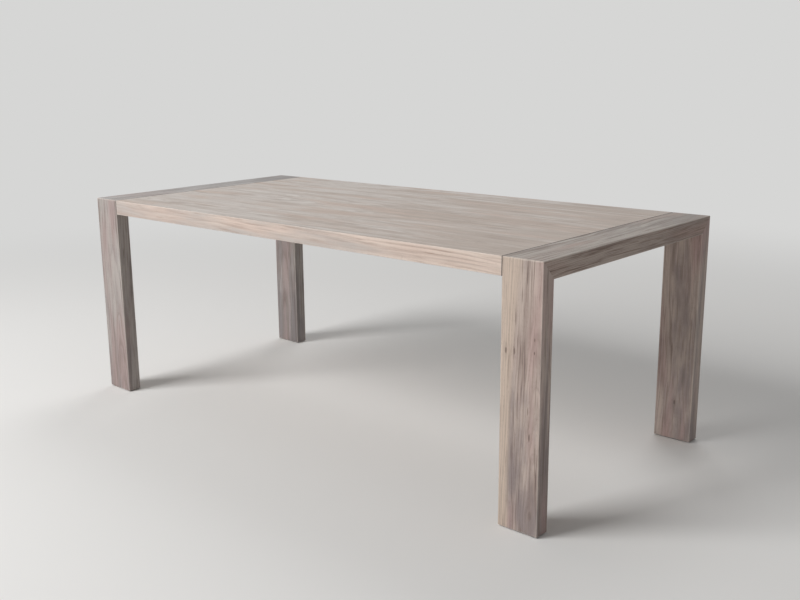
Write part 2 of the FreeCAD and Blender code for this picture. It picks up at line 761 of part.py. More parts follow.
doc.recompute()
failed = [found.Name for found in doc.Objects if {"Invalid", "Error"} & set(found.State)]
if failed:
    raise RuntimeError("failed objects: " + ", ".join(failed))

os.makedirs("parts", exist_ok=True)
for node in nodes:
    if node.Shape.isNull() or not node.Shape.isValid():
        raise RuntimeError(f"{node.Label} has no valid shape")
    node.Shape.exportStep(f"parts/{node.Label}.step")
    box = node.Shape.BoundBox
    print(f"{node.Label:28s} {len(node.Shape.Solids):2d} solids  {node.Shape.Volume / 1000:10.1f} cm3  "
          f"x {box.XMin:8.1f} {box.XMax:8.1f}  y {box.YMin:7.1f} {box.YMax:7.1f}  "
          f"z {box.ZMin:6.1f} {box.ZMax:6.1f}")
print(len(nodes), "nodes")
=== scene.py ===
import math

import bpy
from mathutils import Matrix, Vector


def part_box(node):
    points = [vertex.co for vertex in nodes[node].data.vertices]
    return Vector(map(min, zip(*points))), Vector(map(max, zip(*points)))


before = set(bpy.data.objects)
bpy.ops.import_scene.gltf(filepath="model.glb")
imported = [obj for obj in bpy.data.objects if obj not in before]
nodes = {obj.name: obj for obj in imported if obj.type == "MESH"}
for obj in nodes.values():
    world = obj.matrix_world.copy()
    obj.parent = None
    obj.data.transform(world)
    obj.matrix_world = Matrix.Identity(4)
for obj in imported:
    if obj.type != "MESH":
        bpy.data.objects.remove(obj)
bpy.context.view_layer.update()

# ---- End frames ---------------------------------------------------------------------------
# Each end is a frame of two slab legs and a broad rail, mitred and glued.  It is open-grained
# hardwood, planed, limed pale and oiled matt, with every arris eased by hand.  The left frame's
# colours are greyer, as painted cool light; the legs have painted shade towards the floor, and
# the rails painted cool shade on their tops and painted shade towards the back.


def paint(red, green, blue):
    """A colour as it looks on a screen, 0 to 255, turned into amounts of light."""
    parts = [part / 255 for part in (red, green, blue)]
    return (*[p / 12.92 if p < 0.04045 else ((p + 0.055) / 1.055) ** 2.4 for p in parts], 1)


def put(tree, kind, settings=None, inputs=None):
    """Add a node; an input is a value or another node's output."""
    made = tree.nodes.new("ShaderNode" + kind)
    for name, choice in (settings or {}).items():
        setattr(made, name, choice)
    for name, given in (inputs or {}).items():
        if isinstance(given, bpy.types.NodeSocket):
            tree.links.new(given, made.inputs[name])
        else:
            made.inputs[name].default_value = given
    return made


def maths(tree, operation, *given):
    """One sum of one to three numbers."""
    return put(tree, "Math", {"operation": operation}, dict(enumerate(given))).outputs[0]


def weigh(tree, start, *parts):
    """Start from a number and add each part times its weight."""
    for part, weight in parts:
        start = maths(tree, "MULTIPLY_ADD", part, weight, start)
    return start


def vectors(tree, operation, *given):
    """One sum of vectors."""
    return put(tree, "VectorMath", {"operation": operation}, dict(enumerate(given))).outputs[0]


def scaled(tree, vector, size):
    """A vector or a colour made longer or brighter by a number."""
    made = put(tree, "VectorMath", {"operation": "SCALE"}, {0: vector, "Scale": size})
    return made.outputs[0]


def split(tree, vector):
    """The X, Y and Z of a vector."""
    return put(tree, "SeparateXYZ", None, {0: vector}).outputs


def ramp(tree, given, start, end, low=0.0, high=1.0):
    """Go smoothly from low to high while a number goes from start to end."""
    settings = {"interpolation_type": "SMOOTHSTEP"}
    inputs = {"Value": given, "From Min": start, "From Max": end, "To Min": low, "To Max": high}
    return put(tree, "MapRange", settings, inputs).outputs[0]


def mingle(tree, share, first, second):
    """Go from the first colour to the second by a share."""
    return put(tree, "Mix", {"data_type": "RGBA"}, {0: share, 6: first, 7: second}).outputs[2]


def cloud(tree, place, waves, detail=2.0):
    """Soft noise, with so many waves to the metre each way."""
    fitted = vectors(tree, "MULTIPLY", place, waves)
    return put(tree, "TexNoise", None, {"Vector": fitted, "Scale": 1.0, "Detail": detail}).outputs


def scatter(tree, place, cells):
    """Cells, so many to the metre each way: the distance to a heart, and each cell's lots."""
    fitted = vectors(tree, "MULTIPLY", place, cells)
    made = put(tree, "TexVoronoi", None, {"Vector": fitted, "Scale": 1.0}).outputs
    return made["Distance"], put(tree, "SeparateColor", None, {0: made["Color"]}).outputs


def new_group(name, inputs, outputs):
    """An empty node group with its sockets; each socket has its kind."""
    tree = bpy.data.node_groups.new(name, "ShaderNodeTree")
    for way, sockets in (("INPUT", inputs), ("OUTPUT", outputs)):
        for label, kind in sockets.items():
            tree.interface.new_socket(name=label, in_out=way, socket_type="NodeSocket" + kind)
    return tree, tree.nodes.new("NodeGroupInput").outputs, tree.nodes.new("NodeGroupOutput").inputs


def give(tree, result, outputs):
    """Join what a group has made to its own sockets."""
    for label, made in outputs.items():
        tree.links.new(made, result[label])


def use(tree, group, inputs):
    """Place a node group and give its outputs."""
    return put(tree, "Group", {"node_tree": group}, inputs).outputs


def new_material(name):
    """An empty material and its nodes."""
    material = bpy.data.materials.new(name)
    material.use_nodes = True
    material.node_tree.nodes.clear()
    return material, material.node_tree


def coat(tree, colour, roughness, height, relief, metallic=0.0):
    """Give a material its surface; relief is the depth of the marks in metres."""
    bump = put(tree, "Bump", None, {"Height": height, "Distance": relief})
    shader = put(tree, "BsdfPrincipled", None, {
        "Base Color": colour, "Roughness": roughness, "Metallic": metallic,
        "Normal": bump.outputs[0]})
    put(tree, "OutputMaterial", None, {"Surface": shader.outputs[0]})


def dress(name, material):
    """Put a material on a piece in place of what it had."""
    slots = nodes[name].data.materials
    slots.clear()
    slots.append(material)


# How fine each mark in the wood is: waves or cells to the metre, along the grain and across it
# both ways.
FINENESS = {
    "sway": (1.1, 2.6, 2.6), "ripple": (6, 14, 14), "drift": (1.8, 46, 30),
    "mottle": (13, 48, 48), "blush": (2.4, 16, 16), "streak": (3.4, 190, 90),
    "thread": (7, 230, 230), "fibre": (14, 520, 520), "fine": (60, 1900, 1900),
    "pore": (70, 1300, 1300), "fleck": (11, 120, 120), "knot": (130, 420, 420),
}
# Where each mark starts to show in its noise, and where it shows in full.
SHOWS = {"drift": (0.40, 0.70), "blush": (0.45, 0.75), "streak": (0.48, 0.76),
         "thread": (0.52, 0.70)}


def make_year_rings():
    """The tree's year rings, round a pith that lies somewhere off the plank."""
    open_ends, open_starts = 0.6, 0.8     # parts of a year: its open wood ends, and starts again
    lean_pace, lean_years = 0.31, 2.2     # how soon growth changes, and by how many years
    fan = 0.12                            # how much marks differ from one side to the other
    tree, given, result = new_group(
        "year_rings",
        {"Plank": "Vector", "Seed": "Float", "Pith": "Vector", "Ring Width": "Float",
         "Taper": "Float"},
        {"Growth": "Vector", "Radius": "Float", "Early Wood": "Float", "Year": "Float"})
    off = split(tree, vectors(tree, "SUBTRACT", given["Plank"], given["Pith"]))
    square = maths(tree, "ADD", maths(tree, "MULTIPLY", off["Y"], off["Y"]),
                   maths(tree, "MULTIPLY", off["Z"], off["Z"]))
    radius = weigh(tree, maths(tree, "SQRT", square), (off["X"], given["Taper"]))
    count = maths(tree, "DIVIDE", radius, given["Ring Width"])
    growth_noise = put(tree, "TexNoise", {"noise_dimensions": "1D"}, {
        "W": maths(tree, "ADD", count, given["Seed"]), "Scale": lean_pace, "Detail": 1.0})
    count = weigh(tree, count, (growth_noise.outputs[0], lean_years))
    part = maths(tree, "FRACT", count)
    year = put(tree, "TexWhiteNoise", {"noise_dimensions": "1D"},
               {"W": maths(tree, "ADD", maths(tree, "FLOOR", count), given["Seed"])})
    early = maths(tree, "MAXIMUM", ramp(tree, part, 0.0, open_ends, 1.0, 0.0),
                  ramp(tree, part, open_starts, 1.0))
    growth = put(tree, "CombineXYZ", None, {
        "X": off["X"], "Y": maths(tree, "ADD", radius, given["Seed"]),
        "Z": maths(tree, "MULTIPLY", off["Y"], fan)})
    give(tree, result, {"Growth": growth.outputs[0], "Radius": radius, "Early Wood": early,
                        "Year": year.outputs[0]})
    return tree


def make_pores():
    """Short open vessels along the grain, crowded in the early wood."""
    full, gone = 0.16, 0.36               # how far a vessel reaches in its cell
    late_share, early_extra = 0.14, 0.5   # the share of cells that hold a vessel
    tree, given, result = new_group(
        "pores", {"Plank": "Vector", "Early Wood": "Float"}, {"Pore": "Float"})
    distance, lots = scatter(tree, given["Plank"], FINENESS["pore"])
    dash = ramp(tree, distance, full, gone, 1.0, 0.0)
    share = weigh(tree, late_share, (given["Early Wood"], early_extra))
    held = maths(tree, "LESS_THAN", lots[0], share)
    give(tree, result, {"Pore": maths(tree, "MULTIPLY", dash, held)})
    return tree


def make_flecks():
    """Narrow dark mineral flecks, a finger long, scattered thinly along the grain."""
    full, gone = 0.05, 0.34               # how far a fleck reaches in its cell
    tree, given, result = new_group(
        "flecks", {"Plank": "Vector", "Share": "Float"}, {"Fleck": "Float"})
    distance, lots = scatter(tree, given["Plank"], FINENESS["fleck"])
    dash = ramp(tree, distance, full, gone, 1.0, 0.0)
    weight = ramp(tree, lots[1], maths(tree, "SUBTRACT", 1.0, given["Share"]), 1.0)
    give(tree, result, {"Fleck": maths(tree, "MULTIPLY", dash, weight)})
    return tree


def grain_flow(tree, given):
    """How the grain lies: it leans by its slope, sways slowly and ripples a little."""
    log_step = (17.3, 5.1, 9.7)           # from one seed's log to the next
    middle = (0.5, 0.5, 0.5)              # of a noise, which then goes both ways
    ripple_part = 0.12                    # how strong the ripple is beside the sway
    along = split(tree, given["Plank"])["X"]
    lean = put(tree, "CombineXYZ", None, {"Y": maths(tree, "MULTIPLY", along, given["Slope"])})
    leaning = vectors(tree, "ADD", given["Plank"], lean.outputs[0])
    moved = vectors(tree, "ADD", leaning, scaled(tree, log_step, given["Seed"]))
    sway = vectors(tree, "SUBTRACT", cloud(tree, moved, FINENESS["sway"], 1)["Color"], middle)
    ripple = vectors(tree, "SUBTRACT", cloud(tree, moved, FINENESS["ripple"], 2)["Color"], middle)
    bow = vectors(tree, "ADD", sway, scaled(tree, ripple, ripple_part))
    bow = scaled(tree, vectors(tree, "MULTIPLY", bow, (0, 1, 1)), given["Sway"])
    return vectors(tree, "ADD", leaning, bow), vectors(tree, "ADD", moved, bow)


def drifting_tone(tree, given, along, growth, place):
    """Slow pale-to-dusky drift along the rings, mottled, with painted light fading to one end."""
    middle = 0.5                          # of a noise, which then goes both ways
    drift = cloud(tree, growth, FINENESS["drift"], 3)[0]
    mottle = maths(tree, "SUBTRACT", cloud(tree, place, FINENESS["mottle"], 3)[0], middle)
    drift = maths(tree, "ADD", drift, maths(tree, "MULTIPLY", mottle, given["Mottle"]))
    return ramp(tree, weigh(tree, drift, (along, given["Fade"])), *SHOWS["drift"])


def rosy_blush(tree, place):
    """Pink clouds, a hand long."""
    away = (3, 1, 2)                      # keeps the blush off the other noises
    apart = vectors(tree, "ADD", place, away)
    return ramp(tree, cloud(tree, apart, FINENESS["blush"])[0], *SHOWS["blush"])


def dark_streaks(tree, given, growth, place):
    """Dark streaks along the rings, with finer threads between them."""
    streak = ramp(tree, cloud(tree, growth, FINENESS["streak"], 3)[0], *SHOWS["streak"])
    thread = ramp(tree, cloud(tree, place, FINENESS["thread"], 3)[0], *SHOWS["thread"])
    streak = weigh(tree, streak, (thread, given["Threads"]))
    return maths(tree, "MULTIPLY", streak, given["Streaks"])


def ring_lines(tree, given, ring):
    """Lines of open early wood, stronger in some years than in others."""
    faintest, spread = 0.25, 0.75
    strength = weigh(tree, faintest, (ring["Year"], spread))
    line = maths(tree, "MULTIPLY", ring["Early Wood"], strength)
    return maths(tree, "MULTIPLY", line, given["Rings"])


def sapwood_share(tree, given, along, radius):
    """Sapwood lies outside a certain ring, which may bow along the plank."""
    inner, outer = -0.005, 0.004          # metres, between which heartwood turns into sapwood
    bowed = maths(tree, "MULTIPLY", maths(tree, "MULTIPLY", along, along), given["Sapwood Bow"])
    outward = maths(tree, "SUBTRACT", radius, given["Sapwood From"])
    return ramp(tree, maths(tree, "ADD", outward, bowed), inner, outer)


def make_timber(year_rings, pores, flecks):
    """Sawn timber, the same seen from any side, limed and oiled."""
    fleck_share = 0.25
    sap_calm = -0.4                       # how much quieter the sapwood's marks are
    clear_tone, oiled_matt, planed_level = 0.83, 0.5, 0.7    # before the marks add to them
    tree, given, result = new_group(
        "timber",
        {"Plank": "Vector", "Seed": "Float", "Pith": "Vector", "Ring Width": "Float",
         "Taper": "Float", "Slope": "Float", "Sway": "Float", "Sapwood From": "Float",
         "Sapwood Bow": "Float", "Fade": "Float", "Pale": "Color", "Dusky": "Color",
         "Rosy": "Color", "Sapwood": "Color", "Vein": "Color", "Pore Colour": "Color",
         "Mottle": "Float", "Rings": "Float", "Streaks": "Float", "Threads": "Float",
         "Flecks": "Float", "Pores": "Float"},
        {"Color": "Color", "Roughness": "Float", "Height": "Float"})
    along = split(tree, given["Plank"])["X"]
    grown, place = grain_flow(tree, given)
    ring = use(tree, year_rings, {
        "Plank": grown, "Seed": given["Seed"], "Pith": given["Pith"],
        "Ring Width": given["Ring Width"], "Taper": given["Taper"]})
    drift = drifting_tone(tree, given, along, ring["Growth"], place)
    streak = dark_streaks(tree, given, ring["Growth"], place)
    line = ring_lines(tree, given, ring)
    sap = sapwood_share(tree, given, along, ring["Radius"])
    calm = weigh(tree, 1.0, (sap, sap_calm))
    fibre = cloud(tree, place, FINENESS["fibre"], 2)[0]
    fine = cloud(tree, place, FINENESS["fine"], 1)[0]
    pore = maths(tree, "MULTIPLY", given["Pores"],
                 use(tree, pores, {"Plank": place, "Early Wood": ring["Early Wood"]})[0])
    fleck = maths(tree, "MULTIPLY", given["Flecks"],
                  use(tree, flecks, {"Plank": place, "Share": fleck_share})[0])
    darker = maths(tree, "ADD", streak, fleck)

    colour = mingle(tree, drift, given["Pale"], given["Dusky"])
    colour = mingle(tree, rosy_blush(tree, place), colour, given["Rosy"])
    colour = mingle(tree, sap, colour, given["Sapwood"])
    colour = mingle(tree, maths(tree, "MULTIPLY", line, calm), colour, given["Vein"])
    colour = mingle(tree, maths(tree, "MULTIPLY", darker, calm), colour, given["Vein"])
    colour = scaled(tree, colour, weigh(tree, clear_tone, (fine, 0.12), (fibre, 0.22)))
    give(tree, result, {
        "Color": mingle(tree, pore, colour, given["Pore Colour"]),
        "Roughness": weigh(tree, oiled_matt, (line, 0.1), (fibre, 0.16), (pore, 0.2)),
        "Height": weigh(tree, planed_level, (fine, 0.3), (line, -0.3), (pore, -0.7))})
    return tree


def make_knot():
    """A pin knot: the grain flows round it, and its heart is dark."""
    slant_along, slant_across = -0.4, -0.25   # the branch leans as it goes into the wood
    pull_fall, pull = -0.22, -0.72            # how far off, and how hard, the grain is drawn in
    rag = 1.1                                 # how ragged the heart's edge is
    heart_full, heart_gone = 0.1, 1.1         # in lengths and widths of the knot, squared
    halo_long, halo_wide = 0.12, 0.3          # how soon the stain round the heart dies away
    halo_breaks = (0.25, 0.75, 0.4, 1.0)      # the stain is broken up as the heart's edge is
    tree, given, result = new_group(
        "knot", {"Plank": "Vector", "Centre": "Vector", "Length": "Float", "Width": "Float",
                 "Heart": "Float", "Halo": "Float"},
        {"Plank": "Vector", "Heart": "Float", "Halo": "Float"})
    off = split(tree, vectors(tree, "SUBTRACT", given["Plank"], given["Centre"]))
    along = weigh(tree, off["X"], (off["Z"], slant_along))
    across = weigh(tree, off["Y"], (off["Z"], slant_across))
    lengths = maths(tree, "DIVIDE", along, given["Length"])
    widths = maths(tree, "DIVIDE", across, given["Width"])
    long_square = maths(tree, "MULTIPLY", lengths, lengths)
    wide_square = maths(tree, "MULTIPLY", widths, widths)
    far = maths(tree, "ADD", long_square, wide_square)
    near = maths(tree, "EXPONENT", maths(tree, "MULTIPLY", far, pull_fall))
    draw_in = maths(tree, "MULTIPLY", across, maths(tree, "MULTIPLY", near, pull))
    shift = put(tree, "CombineXYZ", None, {"Y": draw_in}).outputs[0]
    ragged = cloud(tree, given["Plank"], FINENESS["knot"], 2)[0]
    reach = weigh(tree, maths(tree, "SUBTRACT", far, rag / 2), (ragged, rag))
    heart = ramp(tree, reach, heart_full, heart_gone, 1.0, 0.0)
    fall = maths(tree, "ADD", maths(tree, "MULTIPLY", long_square, halo_long),
                 maths(tree, "MULTIPLY", wide_square, halo_wide))
    halo = maths(tree, "EXPONENT", maths(tree, "MULTIPLY", -1.0, fall))
    halo = maths(tree, "MULTIPLY", halo, ramp(tree, ragged, *halo_breaks))
    give(tree, result, {
        "Plank": vectors(tree, "ADD", given["Plank"], shift),
        "Heart": maths(tree, "MULTIPLY", heart, given["Heart"]),
        "Halo": maths(tree, "MULTIPLY", halo, given["Halo"])})
    return tree


def make_shaded_face():
    """Painted cool shade on faces that look up: they keep only a part of each colour's light."""
    leaning, level = 0.4, 0.9             # how far a face looks up: painted shade starts, is full
    tree, given, result = new_group(
        "shaded_face", {"Color": "Color", "Normal": "Vector", "Kept": "Vector"},
        {"Color": "Color"})
    upward = ramp(tree, split(tree, given["Normal"])["Z"], leaning, level)
    shaded = vectors(tree, "MULTIPLY", given["Color"], given["Kept"])
    give(tree, result, {"Color": mingle(tree, upward, given["Color"], shaded)})
    return tree


def make_arris():
    """A mask for the eased edges' painted highlight and wear, a little uneven along them."""
    patches = (30, 30, 30)                # to the metre
    narrowest, uneven = 0.5, 1.4          # the mask's width, in parts of the eased width
    full, gone = 0.3, 1.0                 # in parts of the mask's width
    tree, given, result = new_group(
        "arris", {"Place": "Vector", "Low": "Vector", "High": "Vector", "Width": "Float"},
        {"Highlight And Wear": "Float"})
    depth = split(tree, vectors(tree, "MINIMUM",
                                vectors(tree, "SUBTRACT", given["Place"], given["Low"]),
                                vectors(tree, "SUBTRACT", given["High"], given["Place"])))
    nearer = maths(tree, "MINIMUM", depth["X"], depth["Y"])
    farther = maths(tree, "MAXIMUM", depth["X"], depth["Y"])
    second = maths(tree, "MAXIMUM", nearer, maths(tree, "MINIMUM", farther, depth["Z"]))
    patch = cloud(tree, given["Place"], patches)[0]
    reach = maths(tree, "MULTIPLY", given["Width"], weigh(tree, narrowest, (patch, uneven)))
    share = maths(tree, "DIVIDE", second, reach)
    give(tree, result, {"Highlight And Wear": ramp(tree, share, full, gone, 1.0, 0.0)})
    return tree


def make_seam_shade_and_dirt():
    """Painted shade, oil and dust darkening the open seam between an end frame and the field."""
    patches = (40, 40, 40)                # to the metre
    in_front, more_on_top, uneven = 0.0014, 0.0008, 0.0006    # half the dark line, in metres
    full, gone = 0.72, 1.0                # in parts of that half
    tree, given, result = new_group(
        "seam_shade_and_dirt", {"Place": "Vector", "Seam": "Float", "Lowest": "Float", "Top": "Float"},
        {"Shade And Dirt": "Float"})
    at = split(tree, given["Place"])
    off = maths(tree, "SUBTRACT", maths(tree, "ABSOLUTE", at["X"]), given["Seam"])
    patch = cloud(tree, given["Place"], patches)[0]
    on_top = maths(tree, "GREATER_THAN", at["Z"], given["Top"])
    reach = weigh(tree, in_front, (on_top, more_on_top), (patch, uneven))
    share = maths(tree, "DIVIDE", maths(tree, "ABSOLUTE", off), reach)
    near = ramp(tree, share, full, gone, 1.0, 0.0)
    above = maths(tree, "GREATER_THAN", at["Z"], given["Lowest"])
    give(tree, result, {"Shade And Dirt": maths(tree, "MULTIPLY", near, above)})
    return tree


TIMBER = make_timber(make_year_rings(), make_pores(), make_flecks())
KNOT = make_knot()
SHADED_FACE = make_shaded_face()
ARRIS = make_arris()
SEAM_SHADE_AND_DIRT = make_seam_shade_and_dirt()

WOOD_RELIEF, ARRIS_WIDTH = 0.00012, 0.003    # metres
# Colour of the painted highlight and wear on the eased edges.
ARRIS_COLOUR = paint(226, 216, 205)
# Colour and strength of the painted shade and dirt in the open seam.
SEAM_COLOUR, SEAM_STRENGTH = paint(44, 36, 31), 0.95
EDGE_LOW, EDGE_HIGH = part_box("front_apron")
LEG_LOW, LEG_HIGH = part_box("leg_front_right")
BOARD_LOW, BOARD_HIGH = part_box("top_board_4")
SEAM = (EDGE_HIGH.x + LEG_LOW.x) / 2      # from the table's middle to the open seam
JUST_UNDER_TOP = BOARD_HIGH.z - 0.0008    # above this, the seam is seen as part of the top
ALONG_Y = (0, 0, -math.pi / 2)            # turns that bring grain along Y, or Z, to X
ALONG_Z = (math.pi / 2, 0, math.pi / 2)


def wood(name, lie, colours, cut, knots=(), highlight_and_wear=0.3, seam=True, eased_box=None, kept=None):
    """Dress a wooden piece; lie turns it so that its grain runs along X.

    How strongly the eased edges show their painted highlight and wear is set by a weight,
    and kept says what light an upward face keeps under painted cool shade.
    """
    low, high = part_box(name)
    material, tree = new_material(name + "_wood")
    place = put(tree, "TexCoord").outputs["Object"]
    centred = vectors(tree, "SUBTRACT", place, (low + high) / 2)
    plank = put(tree, "Mapping", None, {"Vector": centred, "Rotation": lie}).outputs[0]
    stains = []
    for knot in knots:
        grown = use(tree, KNOT, {"Plank": plank, **knot})
        plank = grown["Plank"]
        stains += [(grown["Halo"], colours["Vein"]), (grown["Heart"], colours["Pore Colour"])]
    timber = use(tree, TIMBER, {"Plank": plank, **colours, **cut})
    colour = timber["Color"]
    for mask, stain in stains:
        colour = mingle(tree, mask, colour, stain)
    # Painted cool shade on faces that look up.
    if kept:
        normal = put(tree, "NewGeometry").outputs["Normal"]
        colour = use(tree, SHADED_FACE, {"Color": colour, "Normal": normal, "Kept": kept})[0]
    low, high = eased_box or (low, high)
    # Painted highlight and wear lighten the eased edges.
    edge = use(tree, ARRIS, {"Place": place, "Low": low, "High": high, "Width": ARRIS_WIDTH})[0]
    colour = mingle(tree, maths(tree, "MULTIPLY", edge, highlight_and_wear), colour, ARRIS_COLOUR)
    # Painted shade and dirt darken the open seam.
    if seam:
        shade_and_dirt = use(tree, SEAM_SHADE_AND_DIRT, {"Place": place, "Seam": SEAM, "Lowest": EDGE_LOW.z,
                                     "Top": JUST_UNDER_TOP})[0]
        colour = mingle(tree, maths(tree, "MULTIPLY", shade_and_dirt, SEAM_STRENGTH), colour, SEAM_COLOUR)
    coat(tree, colour, timber["Roughness"], timber["Height"], WOOD_RELIEF)
    dress(name, material)


def colours_of(pale, dusky, rosy, sapwood, vein, pore):
    """The colours of one board after liming."""
    return {"Pale": paint(*pale), "Dusky": paint(*dusky), "Rosy": paint(*rosy),
            "Sapwood": paint(*sapwood), "Vein": paint(*vein), "Pore Colour": paint(*pore)}


BEYOND_ANY_PLANK = 9.0                    # metres from the pith


def cut_of(seed, pith, ring_width=0.0032, taper=0.006, slope=0.0, sway=0.035,
           sapwood_from=BEYOND_ANY_PLANK, sapwood_bow=0.0, fade=0.0, mottle=0.42, rings=0.45,
           streaks=0.65, threads=0.8, flecks=0.6, pores=0.4):
    """How a piece was cut from its log, and how strongly its figure shows."""
    return {"Seed": seed, "Pith": (0, *pith), "Ring Width": ring_width, "Taper": taper,
            "Slope": slope, "Sway": sway, "Sapwood From": sapwood_from,
            "Sapwood Bow": sapwood_bow, "Fade": fade, "Mottle": mottle, "Rings": rings,
            "Streaks": streaks, "Threads": threads, "Flecks": flecks, "Pores": pores}


def knot_at(up, across, length, width, heart, halo):
    """A pin knot in a leg's front face, so far up and to the right from the face's middle."""
    front_face = (LEG_LOW.y - LEG_HIGH.y) / 2
    return {"Centre": (up, across, front_face), "Length": length, "Width": width,
            "Heart": heart, "Halo": halo}


# The left frame's colours are greyer than the right's: painted cool light from the left.
LEG_COLOURS = {
    "left": colours_of(pale=(171, 164, 159), dusky=(137, 131, 131), rosy=(163, 144, 140),
                       sapwood=(182, 172, 162), vein=(110, 96, 91), pore=(92, 79, 72)),
    "right": colours_of(pale=(190, 174, 164), dusky=(144, 132, 130), rosy=(179, 151, 146),
                        sapwood=(199, 181, 166), vein=(119, 100, 93), pore=(100, 82, 73)),
}
FRONT_RIGHT_KNOTS = (
    knot_at(0.128, -0.0470, 0.010, 0.0040, heart=0.7, halo=0.45),
    knot_at(0.130, -0.0203, 0.013, 0.0028, heart=0.8, halo=0.6),
    knot_at(0.171, 0.0425, 0.006, 0.0018, heart=0.7, halo=0.3),
    knot_at(0.135, 0.0425, 0.006, 0.0024, heart=0.9, halo=0.3),
    knot_at(-0.028, 0.0260, 0.013, 0.0016, heart=0.7, halo=0.4),
    knot_at(-0.100, 0.0320, 0.014, 0.0032, heart=0.8, halo=0.4),
    knot_at(-0.322, 0.0400, 0.016, 0.0065, heart=0.4, halo=0.5),
    knot_at(0.330, 0.0170, 0.022, 0.0022, heart=0.5, halo=0.4),
)
BACK_RIGHT_KNOTS = (knot_at(-0.25, 0.003, 0.010, 0.0035, heart=0.8, halo=0.4),)
# Each leg's fade paints shade that darkens it towards the floor.
LEGS = {
    "front_left": (cut_of(3.1, (0.03, 0.12), slope=0.01, fade=-0.3), ()),
    "back_left": (cut_of(4.6, (-0.02, 0.14), fade=-0.3), ()),
    "front_right": (cut_of(5.2, (0.045, 0.09), taper=0.009, sapwood_from=0.1405,
                           sapwood_bow=0.045, fade=-0.32, threads=1.1), FRONT_RIGHT_KNOTS),
    "back_right": (cut_of(6.3, (0.0, 0.16), fade=-0.3), BACK_RIGHT_KNOTS),
}
CORNERS = tuple(LEGS)
for corner, (cut, knots) in LEGS.items():
    end = corner.split("_")[1]
    wood("leg_" + corner, ALONG_Z, LEG_COLOURS[end], cut, knots)

# The left rail's colours are greyer and paler: painted cool light from the left front.
RAIL_COLOURS = {
    "left": colours_of(pale=(198, 187, 183), dusky=(159, 149, 147), rosy=(187, 166, 161),
                       sapwood=(198, 185, 180), vein=(140, 126, 120), pore=(118, 103, 96)),
    "right": colours_of(pale=(183, 168, 158), dusky=(150, 136, 129), rosy=(177, 151, 140),
                        sapwood=(186, 168, 155), vein=(121, 101, 91), pore=(108, 90, 79)),
}
RAIL_SEED = 11.4
KEPT_ON_RAIL_TOP = (0.82, 0.89, 0.91)     # of red, green and blue light, under painted cool shade
# Each rail's fade paints shade that darkens it towards the back.
for number, end in enumerate(RAIL_COLOURS):
    rail_cut = cut_of(RAIL_SEED + number, (0.075, -0.10), ring_width=0.0027, slope=0.01,
                      fade=0.42, rings=0.6, streaks=1.0)
    wood("end_rail_" + end, ALONG_Y, RAIL_COLOURS[end], rail_cut, kept=KEPT_ON_RAIL_TOP)

# ---- Field --------------------------------------------------------------------------------
# Eight boards lie side by side between the end frames, edge-glued into one panel.  They are
# the same limed hardwood, picked for quiet figure, so that their joints hardly show.

ALONG_X = (0, 0, 0)
BOARD_COUNT = 8
BOARD_SEED, SEED_STEP = 20.7, 1.37
PITH_ASIDE, PITH_BELOW, PITH_SHIFT = 0.07, -0.085, 0.03
ASIDE_TURN, SHIFT_TURN = 2.4, 3.1         # so that no two boards have the same pith
# The field's colours are greyer than the aprons': painted cool light on the top.
FIELD_COLOURS = colours_of(pale=(203, 196, 190), dusky=(179, 166, 156), rosy=(193, 175, 163),
                           sapwood=(202, 192, 182), vein=(148, 131, 120), pore=(132, 115, 104))
# The panel is eased only round its outside, once its boards are glued.
FIELD_BOX = (Vector((*EDGE_LOW.xy, BOARD_LOW.z)),
             Vector((*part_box("back_apron")[1].xy, BOARD_HIGH.z)))
# Each board's fade paints light that dims and warms towards the right.
for number in range(1, BOARD_COUNT + 1):
    pith = (PITH_ASIDE * math.sin(ASIDE_TURN * number),
            PITH_BELOW - PITH_SHIFT * math.cos(SHIFT_TURN * number))
    board_cut = cut_of(BOARD_SEED + SEED_STEP * number, pith, taper=0.012, fade=0.19,
                       mottle=0.3, rings=0.38, streaks=0.46, threads=1.3)
    wood(f"top_board_{number}", ALONG_X, FIELD_COLOURS, board_cut, eased_box=FIELD_BOX)

# ---- Aprons -------------------------------------------------------------------------------
# A deep edge hangs under each long side of the field, mitred to the outer board so that the
# top looks as thick as the edge.  Their colours, warmer than the field's, are painted warm light.

ON_EDGE = (-math.pi / 2, 0, 0)
APRON_COLOURS = colours_of(pale=(184, 175, 169), dusky=(214, 197, 185), rosy=(207, 187, 175),
                           sapwood=(210, 197, 186), vein=(165, 142, 129), pore=(152, 129, 116))
# Each apron's fade paints cool, dimmer light at its left end and warm light at its right.
for seed, side, fade in ((40.2, "front", 0.3), (41.2, "back", 0.1)):
    apron_cut = cut_of(seed, (-0.06, -0.1), ring_width=0.006, slope=0.012, fade=fade,
                       mottle=0.1, rings=0.42, streaks=0.48, threads=1.0)
    wood(side + "_apron", ON_EDGE, APRON_COLOURS, apron_cut)

# ---- Joints inside the wood ---------------------------------------------------------------
# Loose tenons, splines and dowels hold the mitres and the glued joints.  They are plain beech,
# planed or turned, and none of them shows once the table is together.

BEECH_COLOURS = colours_of(pale=(214, 182, 146), dusky=(204, 170, 134), rosy=(208, 168, 132),
                           sapwood=(214, 182, 146), vein=(176, 138, 104), pore=(160, 120, 88))
BEECH_CUT = cut_of(60.0, (0.0, 0.1), pores=0.2, flecks=0.8)
inner_joints = {"board_dowels": ALONG_Y}
for corner in CORNERS:
    inner_joints["mitre_tenons_" + corner] = ALONG_Z
    inner_joints["apron_dowels_" + corner] = ALONG_X
for side in ("front", "back"):
    inner_joints[side + "_mitre_spline"] = ALONG_X
for name, lie in inner_joints.items():
    wood(name, lie, BEECH_COLOURS, BEECH_CUT, seam=False)

# ---- Cleats and battens -------------------------------------------------------------------
# Under the field, a cleat at each end takes the bolts of the end frame, and three battens keep
# the boards flat.  They are bare planed hardwood, since nobody sees them.

